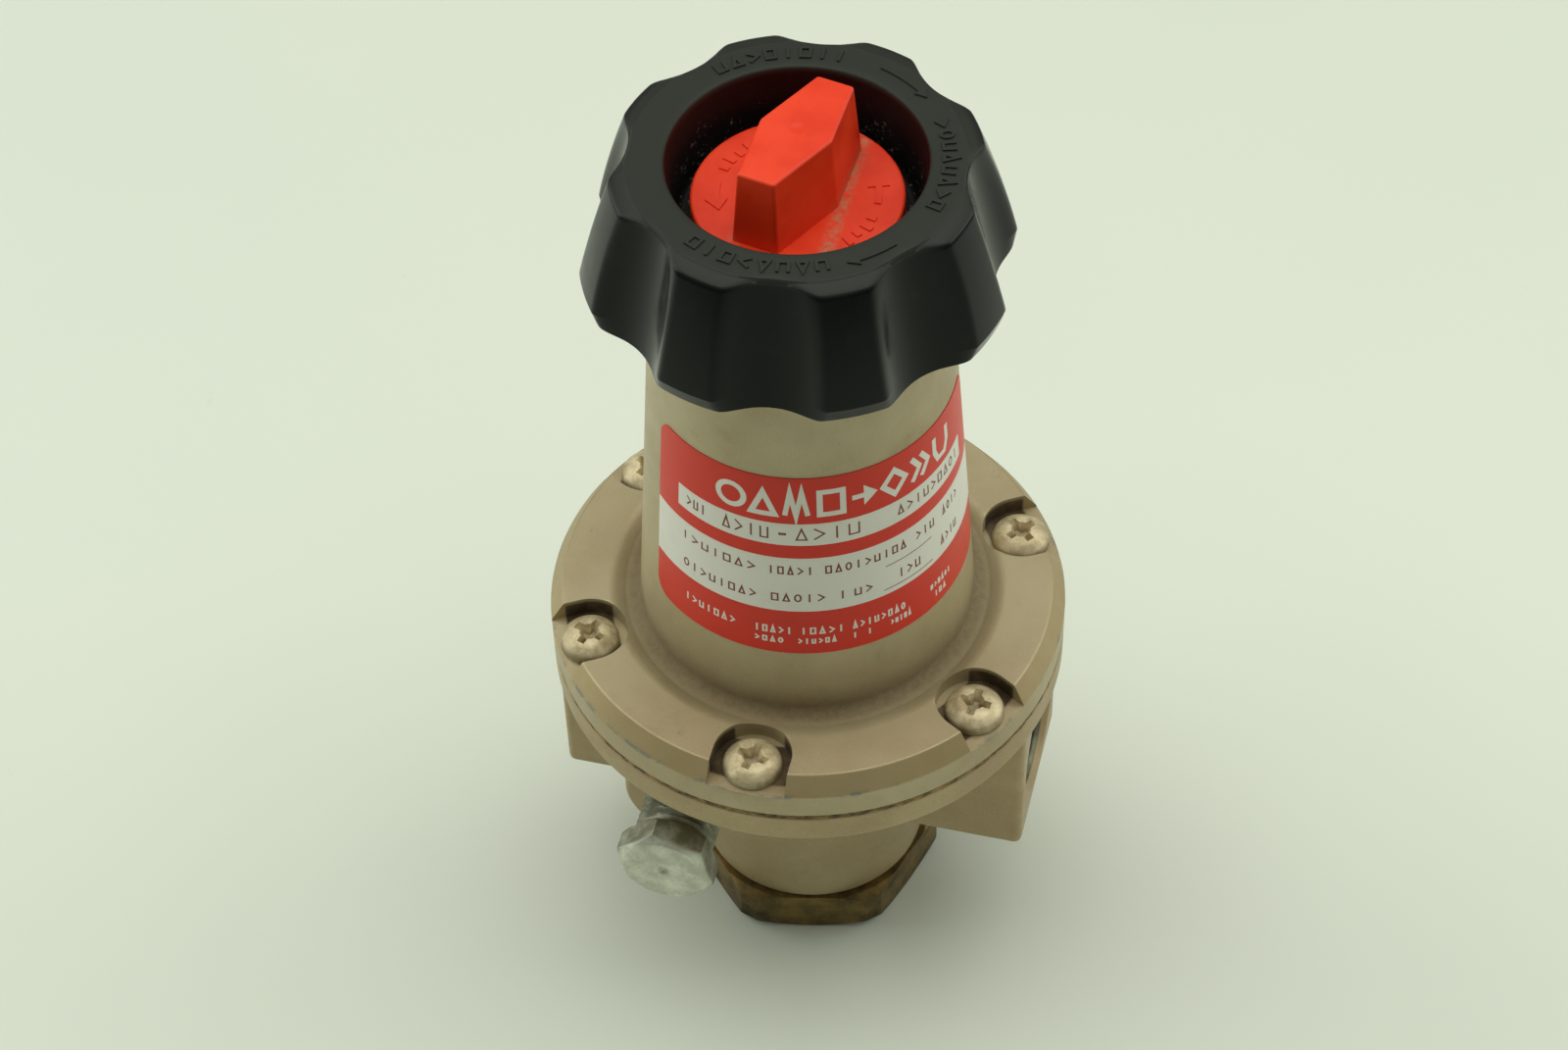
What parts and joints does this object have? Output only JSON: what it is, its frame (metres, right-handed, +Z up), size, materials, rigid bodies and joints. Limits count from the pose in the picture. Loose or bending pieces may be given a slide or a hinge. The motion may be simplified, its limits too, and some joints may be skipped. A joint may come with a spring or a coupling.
{
  "type": "air pressure regulator",
  "caption": "Diaphragm air pressure regulator with a ported body, a tapered spring bonnet, a fluted adjusting knob and a lock wing.",
  "frame": {"origin": "centre of the bottom face of the bottom cap, on the valve axis", "axes": "+Z up along the valve axis to the knob, +X along the port axis out of the inlet port, -Y out of the front gauge port"},
  "size_m": [0.0826, 0.0827, 0.1685],
  "materials": {
    "cast_paint": "champagne metallic enamel, satin",
    "screw_paint": "champagne metallic enamel over steel, worn",
    "cap_brass": "dull, stained",
    "zinc_plate": "zinc plated, dull",
    "seal_rubber": "matt",
    "diaphragm_rubber": "fabric-reinforced, brown at its edge",
    "inner_steel": "turned",
    "inner_brass": "turned",
    "bearing_bronze": "sintered",
    "spring_steel": "oil tempered wire",
    "knob_plastic": "black, semi-gloss",
    "lock_plastic": "orange red, moulded",
    "label_film": "printed film, red and white"
  },
  "bodies": {
    "housing": {"body": "cast_paint", "bonnet": "cast_paint", "bonnet_screws": "screw_paint", "bottom_cap": "cap_brass", "bottom_cap_seal": "seal_rubber", "gauge_port_plug": "zinc_plate", "rear_gauge_plug": "zinc_plate", "valve_seat": "inner_brass", "diaphragm": "diaphragm_rubber", "valve_spring": "spring_steel", "range_spring": "spring_steel", "thrust_washer": "inner_steel", "bonnet_bushing": "bearing_bronze", "nameplate": "label_film"},
    "knob": {"adjusting_knob": "knob_plastic", "adjusting_screw": "inner_steel", "knob_retaining_ring": "spring_steel"},
    "lock": {"lock_button": "lock_plastic", "lock_stem": "inner_steel"},
    "spring_carrier": {"spring_nut": "inner_steel"},
    "diaphragm_centre": {"diaphragm_upper_plate": "inner_steel", "diaphragm_lower_plate": "inner_steel", "relief_hub": "inner_brass", "hub_nut": "inner_steel"},
    "valve": {"valve_stem": "inner_steel", "valve_poppet": "inner_brass", "poppet_seal": "seal_rubber"}
  },
  "joints": [
    {"name": "knob_turn", "type": "hinge", "parent": "housing", "child": "knob", "pos_m": [0, 0, 0.15], "axis": [0, 0, -1], "range_deg": [0, 1710]},
    {"name": "lock_turn", "type": "hinge", "parent": "knob", "child": "lock", "pos_m": [0, 0, 0.155], "axis": [0, 0, -1], "range_deg": [0, 90]},
    {"name": "spring_nut_travel", "type": "slide", "parent": "housing", "child": "spring_carrier", "axis": [0, 0, -1], "range_m": [0, 0.00754], "deforming": ["range_spring"]},
    {"name": "diaphragm_travel", "type": "slide", "parent": "housing", "child": "diaphragm_centre", "axis": [0, 0, -1], "range_m": [0, 0.0012], "stiffness_N_per_m": 3000, "springref_m": -0.002, "deforming": ["diaphragm"]},
    {"name": "valve_travel", "type": "slide", "parent": "housing", "child": "valve", "axis": [0, 0, -1], "range_m": [0, 0.0012], "deforming": ["valve_spring"]}
  ],
  "couplings": [
    {"joint": "knob_turn", "follows": "spring_nut_travel", "rad_per_m": 3957.9},
    {"joint": "valve_travel", "follows": "diaphragm_travel", "ratio": 1}
  ]
}
